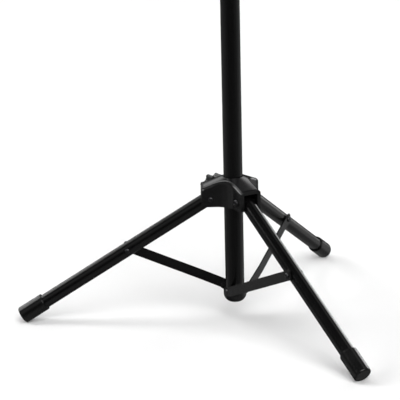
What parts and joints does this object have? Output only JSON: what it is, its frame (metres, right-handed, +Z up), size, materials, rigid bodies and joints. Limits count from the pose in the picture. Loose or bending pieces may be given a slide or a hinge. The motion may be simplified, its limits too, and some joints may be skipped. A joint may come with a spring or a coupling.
{
  "type": "music stand",
  "caption": "Black music stand: folding tripod base on a sliding hub with flat struts, telescoping pole with clamp knobs, and a tilting sheet-metal desk with a page ledge.",
  "frame": {"origin": "on the floor, under the pole's axis", "axes": "+Z up along the pole; the desk faces -Y; legs at 180, 300 and 60 degrees from +X"},
  "size_m": [0.5394, 0.5148, 1.1905],
  "materials": {
    "black_powder_coat": "satin black powder coat on steel tube and sheet",
    "black_moulding": "satin black glass-filled moulding",
    "black_casting": "black coated die casting",
    "black_nylon": "matte black nylon",
    "black_rubber": "matte black rubber",
    "black_oxide_steel": "black oxide steel",
    "zinc_steel": "zinc plated steel",
    "brass": "plain brass"
  },
  "bodies": {
    "pole": {"lower_tube": "black_powder_coat", "tube_end_plug": "black_nylon", "lower_collar": "black_moulding", "collar_lock_screw": "zinc_steel", "collar_rivets": "black_oxide_steel", "clutch_body": "black_moulding", "clutch_bush": "black_nylon", "clutch_nut": "zinc_steel", "clutch_shoe": "brass"},
    "hub": {"leg_hub": "black_moulding", "hub_liner": "black_nylon", "leg_pivot_pins": "black_oxide_steel", "hub_clamp_nut": "zinc_steel", "hub_clamp_pad": "brass"},
    "hub_handle": {"hub_clamp_knob": "black_moulding", "hub_clamp_screw": "zinc_steel"},
    "leg_left": {"leg_tube_left": "black_powder_coat", "leg_end_plug_left": "black_nylon", "leg_rivet_left": "black_oxide_steel", "foot_cap_left": "black_rubber"},
    "leg_front": {"leg_tube_front": "black_powder_coat", "leg_end_plug_front": "black_nylon", "leg_rivet_front": "black_oxide_steel", "foot_cap_front": "black_rubber"},
    "leg_rear": {"leg_tube_rear": "black_powder_coat", "leg_end_plug_rear": "black_nylon", "leg_rivet_rear": "black_oxide_steel", "foot_cap_rear": "black_rubber"},
    "brace_left": {"strut_left": "black_powder_coat", "strut_rivet_left": "black_oxide_steel"},
    "brace_front": {"strut_front": "black_powder_coat", "strut_rivet_front": "black_oxide_steel"},
    "brace_rear": {"strut_rear": "black_powder_coat", "strut_rivet_rear": "black_oxide_steel"},
    "height_handle": {"height_knob": "black_moulding", "height_screw": "zinc_steel"},
    "guide": {"inner_guide": "black_nylon"},
    "mast": {"upper_tube": "black_powder_coat", "upper_tube_plug": "black_nylon", "guide_clip": "zinc_steel", "tilt_head": "black_casting", "head_pin": "black_oxide_steel", "tilt_bolt": "black_oxide_steel", "tilt_washers": "black_nylon"},
    "tilt_handle": {"tilt_knob": "black_moulding", "tilt_knob_insert": "zinc_steel"},
    "desk": {"desk_plate": "black_powder_coat", "desk_ledge": "black_powder_coat", "ledge_mat": "black_rubber", "ledge_rivets": "black_oxide_steel", "desk_bracket": "black_powder_coat", "bracket_screws": "black_oxide_steel", "bracket_nuts": "zinc_steel"}
  },
  "joints": [
    {"name": "hub_slide", "type": "slide", "parent": "pole", "child": "hub", "axis": [0, 0, 1], "range_m": [0, 0.1454]},
    {"name": "leg_fold_left", "type": "hinge", "parent": "hub", "child": "leg_left", "pos_m": [-0.031, 0, 0.16813], "axis": [0, -1, 0], "range_deg": [0, 58.26]},
    {"name": "leg_fold_front", "type": "hinge", "parent": "hub", "child": "leg_front", "pos_m": [0.0155, -0.02685, 0.16813], "axis": [0.866, 0.5, 0], "range_deg": [0, 58.26]},
    {"name": "leg_fold_rear", "type": "hinge", "parent": "hub", "child": "leg_rear", "pos_m": [0.0155, 0.02685, 0.16813], "axis": [-0.866, 0.5, 0], "range_deg": [0, 58.26]},
    {"name": "strut_swing_left", "type": "hinge", "parent": "pole", "child": "brace_left", "pos_m": [-0.015, 0.016, 0.04136], "axis": [0, 1, 0], "range_deg": [0, 59.52]},
    {"name": "strut_swing_front", "type": "hinge", "parent": "pole", "child": "brace_front", "pos_m": [-0.00636, -0.02099, 0.04136], "axis": [-0.866, -0.5, 0], "range_deg": [0, 59.52]},
    {"name": "strut_swing_rear", "type": "hinge", "parent": "pole", "child": "brace_rear", "pos_m": [0.02136, 0.00499, 0.04136], "axis": [0.866, -0.5, 0], "range_deg": [0, 59.52]},
    {"name": "hub_knob_turn", "type": "hinge", "parent": "hub", "child": "hub_handle", "pos_m": [-0.02, 0.03464, 0.1695], "axis": [-0.5, 0.866, 0], "range_deg": [0, 360]},
    {"name": "height_slide", "type": "slide", "parent": "pole", "child": "guide", "axis": [0, 0, 1], "range_m": [-0.279, 0.155]},
    {"name": "mast_swivel", "type": "hinge", "parent": "guide", "child": "mast", "pos_m": [0, 0, 0.41], "axis": [0, 0, 1], "continuous": true},
    {"name": "height_knob_turn", "type": "hinge", "parent": "pole", "child": "height_handle", "pos_m": [0, 0.04, 0.606], "axis": [0, 1, 0], "range_deg": [0, 360]},
    {"name": "desk_tilt", "type": "hinge", "parent": "mast", "child": "desk", "pos_m": [0, 0, 0.985], "axis": [-1, 0, 0], "range_deg": [-18, 68]},
    {"name": "tilt_knob_turn", "type": "hinge", "parent": "mast", "child": "tilt_handle", "pos_m": [0.025, 0, 0.985], "axis": [1, 0, 0], "range_deg": [0, 360]}
  ],
  "couplings": [
    {"joint": "leg_fold_left", "follows": "hub_slide", "rad_per_m": 6.9917},
    {"joint": "leg_fold_front", "follows": "hub_slide", "rad_per_m": 6.9917},
    {"joint": "leg_fold_rear", "follows": "hub_slide", "rad_per_m": 6.9917},
    {"joint": "strut_swing_left", "follows": "hub_slide", "rad_per_m": 7.1432},
    {"joint": "strut_swing_front", "follows": "hub_slide", "rad_per_m": 7.1432},
    {"joint": "strut_swing_rear", "follows": "hub_slide", "rad_per_m": 7.1432}
  ]
}
